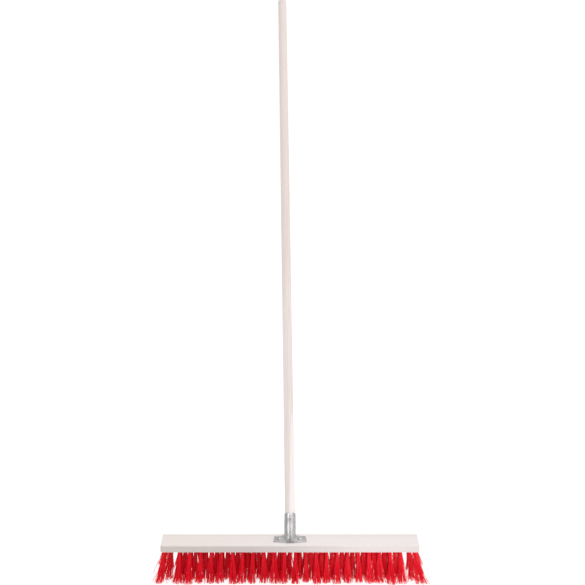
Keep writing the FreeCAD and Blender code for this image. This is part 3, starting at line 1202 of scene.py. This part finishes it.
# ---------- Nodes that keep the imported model's shape ----------
@dataclass
class KeptNodes:
    """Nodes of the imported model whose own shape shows, and the finish that each one gets."""

    finishes: dict[Slot, bpy.types.Material]
    special: dict[str, bpy.types.Material]  # by node, in place of its slot's finish

    def dress(self) -> list[str]:
        """Dresses each shown node.

        Returns:
            The names of the nodes.
        """
        slots = {part["node"]: Slot(part["material_slot"]) for part in frame["record"]["subparts"]}
        shown = [name for name, node in frame["nodes"].items() if not node.hide_render]
        for name in shown:
            dress(frame["nodes"][name], self.special.get(name, self.finishes[slots[name]]))
        return shown


# ---------- Studio ----------
@dataclass(frozen=True)
class Lamp:
    """A square soft light."""

    name: str
    place: Place
    target: Place
    size: float
    power: float
    beam: float = math.pi

    def hang(self) -> None:
        """Puts the light in the scene, facing its target."""
        data = bpy.data.lights.new(self.name, "AREA")
        data.size = self.size
        data.energy = self.power
        data.spread = self.beam
        lamp = bpy.data.objects.new(self.name, data)
        lamp.location = self.place
        way = Vector(self.target) - Vector(self.place)
        lamp.rotation_euler = way.to_track_quat("-Z", "Y").to_euler()
        bpy.context.scene.collection.objects.link(lamp)


@dataclass
class Studio:
    """A pale floor, soft light from overhead and the right, and the camera."""

    lamps: tuple[Lamp, ...] = (
        Lamp("overhead", (0.3, 0.6, 6.0), (0, 0.2, 0), 5.0, 90),
        Lamp("key", (1.7, -1.45, 3.1), (0, 0.2, 0.2), 3.0, 32),
        Lamp("right_hand", (0.42, -0.75, 0.08), (0.2, 0, 0.06), 0.3, 0.105, math.radians(25)),
        Lamp("left_hand", (-1.15, -0.75, 1.6), (0, 0, 0.1), 0.45, 6),
    )
    camera_place: Place = (5.9 * MM, -2.5042, 1.4198)
    camera_pitch: float = math.radians(16.249)
    lens: float = 73.1385
    sensor: float = 36.0
    floor_size: float = 120.0
    floor_tone: Colour = (0.3, 0.3, 0.3)
    floor_glow: float = 0.8
    sky_way: Place = (0.3, 0.8, 0.4)  # towards the brightest part
    sky_over: Span = (-0.8, 1.0)  # cosines of the angle from there
    sky_light: Span = (0.1, 1.04)
    sky_seen: float = 1.0

    def build(self) -> None:
        """Puts the floor, the lights and the camera in the scene."""
        scene = bpy.context.scene
        scene.view_settings.view_transform = "Standard"
        self.floor()
        self.sky(scene)
        for lamp in self.lamps:
            lamp.hang()
        self.camera(scene)

    def floor(self) -> None:
        """Lays a wide pale floor that gives off a little light, so that it stays white."""
        mesh = bmesh.new()
        bmesh.ops.create_grid(mesh, x_segments=1, y_segments=1, size=self.floor_size / 2)
        floor = finished("floor", mesh)
        recipe = Recipe("pale_floor")
        recipe.constant(
            Base_Color=(*self.floor_tone, 1.0),
            Roughness=0.9,
            Emission_Color=WHITE,
            Emission_Strength=self.floor_glow,
        )
        dress(floor, recipe.material)

    def sky(self, scene: bpy.types.Scene) -> None:
        """Surrounds the scene with white light, brightest behind it and dimmest in front.

        Args:
            scene: The scene.
        """
        world = bpy.data.worlds.new("studio")
        world.use_nodes = True
        nodes, links = world.node_tree.nodes, world.node_tree.links
        background = nodes["Background"]
        background.inputs["Color"].default_value = WHITE
        direction = nodes.new("ShaderNodeTexCoord")
        facing = nodes.new("ShaderNodeVectorMath")
        facing.operation = "DOT_PRODUCT"
        facing.inputs[1].default_value = Vector(self.sky_way).normalized()
        links.new(direction.outputs["Generated"], facing.inputs[0])
        strength = nodes.new("ShaderNodeMapRange")
        for index, value in enumerate(self.sky_over + self.sky_light, start=1):
            strength.inputs[index].default_value = value
        links.new(facing.outputs["Value"], strength.inputs[0])
        seen = nodes.new("ShaderNodeLightPath")
        shown = nodes.new("ShaderNodeMix")
        lighting, looking = MixSocket.NUMBERS.value
        shown.inputs[looking].default_value = self.sky_seen
        links.new(seen.outputs["Is Camera Ray"], shown.inputs[0])
        links.new(strength.outputs[0], shown.inputs[lighting])
        links.new(shown.outputs[MixSocket.NUMBER_OUT.value], background.inputs["Strength"])
        scene.world = world

    def camera(self, scene: bpy.types.Scene) -> None:
        """Sets up the camera, in front of the broom and looking down on it.

        Args:
            scene: The scene.
        """
        data = bpy.data.cameras.new("camera")
        data.sensor_width = self.sensor
        data.lens = self.lens
        camera = bpy.data.objects.new("camera", data)
        camera.location = self.camera_place
        camera.rotation_euler = (math.pi / 2 - self.camera_pitch, 0, 0)
        scene.collection.objects.link(camera)
        scene.camera = camera


def finishes(socket: Socket) -> dict[Slot, bpy.types.Material]:
    """Every finish, by the slot that it fills.

    Args:
        socket: The socket, whose tilt and screws the finishes follow.

    Returns:
        The materials.
    """
    # The block takes the default painted light: lighter towards its right end, nearer the right-hand
    # lamp.
    block = Wood("sanded_block_wood", (0.765, 0.71, 0.70), (0.74, 0.668, 0.634), (0.6, 0.505, 0.46))
    stick = Wood(
        "sanded_stick_wood",
        pale=(0.90, 0.825, 0.81),
        warm=(0.81, 0.715, 0.68),
        late=(0.68, 0.55, 0.49),
        turn=(socket.tilt - math.pi / 2, 0.0, math.pi / 2),
        # painted shade: the stick darker and warmer towards its top, away from the lamps, and
        # lighter at its foot
        fade=0.3,
        painted_light_over=(-1.4, -0.2),
    )
    sheet = Galvanised(
        "galvanised_sheet",
        bright=(0.60, 0.583, 0.586),
        dull=(0.44, 0.425, 0.428),
        edge=(0.31, 0.305, 0.307),
        # painted shade round the tube's front foot
        painted_foot_shade=(0.26, 0.252, 0.252),
        painted_foot_shade_at=(1 * MM, -14 * MM, 91 * MM),
        # painted shadow beside each screw
        painted_screw_shadow=(0.2, 0.19, 0.19),
        screws=socket.screw_seats(),
    )
    filament = Filaments(
        "red_filament",
        deep=(0.79, 0.0, 0.012),
        bright=(1.0, 0.006, 0.027),
        scuffed=(0.98, 0.12, 0.13),
    )
    return {
        Slot.BLOCK: block.material(),
        Slot.HANDLE: stick.material(),
        Slot.SOCKET: sheet.material(),
        Slot.SCREW: Plated(
            "bright_zinc", (0.74, 0.74, 0.75), (0.52, 0.52, 0.54), (0.26, 0.44)
        ).material(),
        Slot.BRISTLE: filament.material(),
        Slot.WIRE: Plated(
            "drawn_wire", (0.62, 0.61, 0.60), (0.42, 0.41, 0.40), (0.25, 0.45)
        ).material(),
    }


def main() -> None:
    """Builds the broom's pieces in order, then the studio round them."""
    logging.basicConfig(level=logging.INFO, format="%(name)s: %(message)s")
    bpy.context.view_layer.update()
    socket = Socket()
    finish = finishes(socket)
    for piece in Bristles().build(finish[Slot.BRISTLE]):
        log.info("%s has %d faces", piece.name, len(piece.data.polygons))
    log.info("%s is in place", socket.build(finish[Slot.SOCKET]).name)
    log.info("%s is in place", Stick().build(finish[Slot.HANDLE]).name)
    dull_zinc = Plated("dull_zinc", (0.52, 0.52, 0.52), (0.34, 0.34, 0.34), (0.4, 0.55))
    kept = KeptNodes(finish, {"stick_screw": dull_zinc.material()})
    for name in kept.dress():
        log.info("%s keeps its own shape", name)
    Studio().build()


if __name__ == "__main__":
    main()
